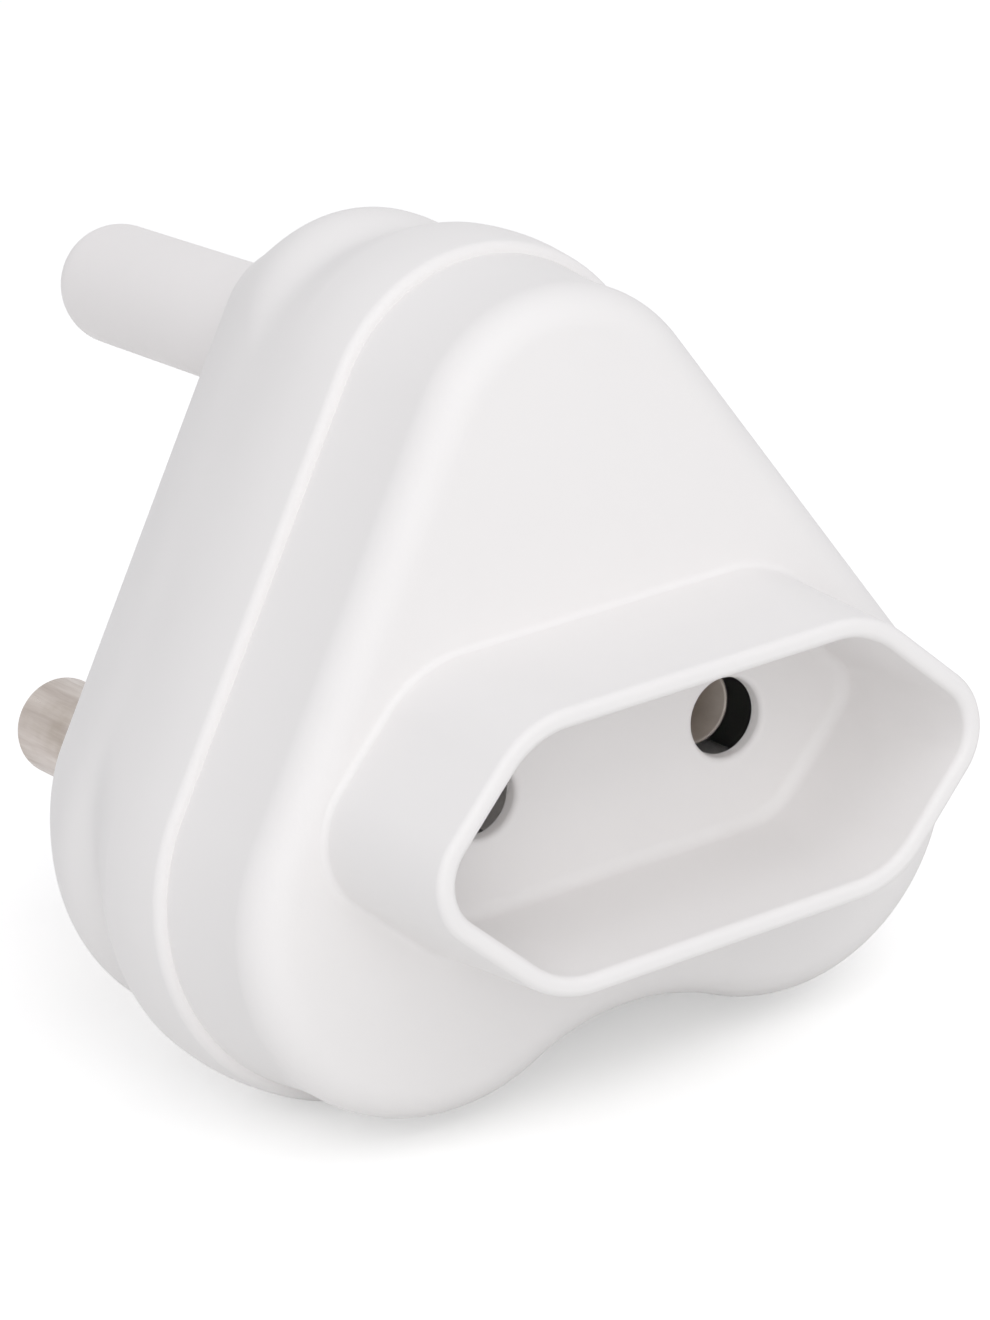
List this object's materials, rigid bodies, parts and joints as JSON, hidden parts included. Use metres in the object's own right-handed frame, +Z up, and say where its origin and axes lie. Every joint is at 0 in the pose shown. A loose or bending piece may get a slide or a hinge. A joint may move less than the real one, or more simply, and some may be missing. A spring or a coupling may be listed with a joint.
{
  "type": "travel plug adaptor",
  "caption": "White moulded travel adaptor: a large three-round-pin plug behind, and a long hexagonal recess with two round contacts for a slim two-pin plug in front.",
  "frame": {"origin": "on the flat rear face, midway between the line and neutral pins", "axes": "+Y into the wall along the pins, +Z up towards the earth pin, +X right seen from the front"},
  "size_m": [0.0578, 0.0759, 0.055],
  "materials": {
    "white_body": "satin moulded",
    "white_pin": "satin moulded",
    "nickel_pin": "nickel plated, brushed along the pin",
    "bronze_contact": "dull tinned bronze strip",
    "steel_screw": "zinc plated"
  },
  "bodies": {
    "root": {"rear_housing": "white_body", "front_cover": "white_body", "earth_pin": "white_pin", "line_pin": "nickel_pin", "neutral_pin": "nickel_pin", "line_contact": "bronze_contact", "neutral_contact": "bronze_contact", "closing_screw": "steel_screw"}
  },
  "joints": []
}
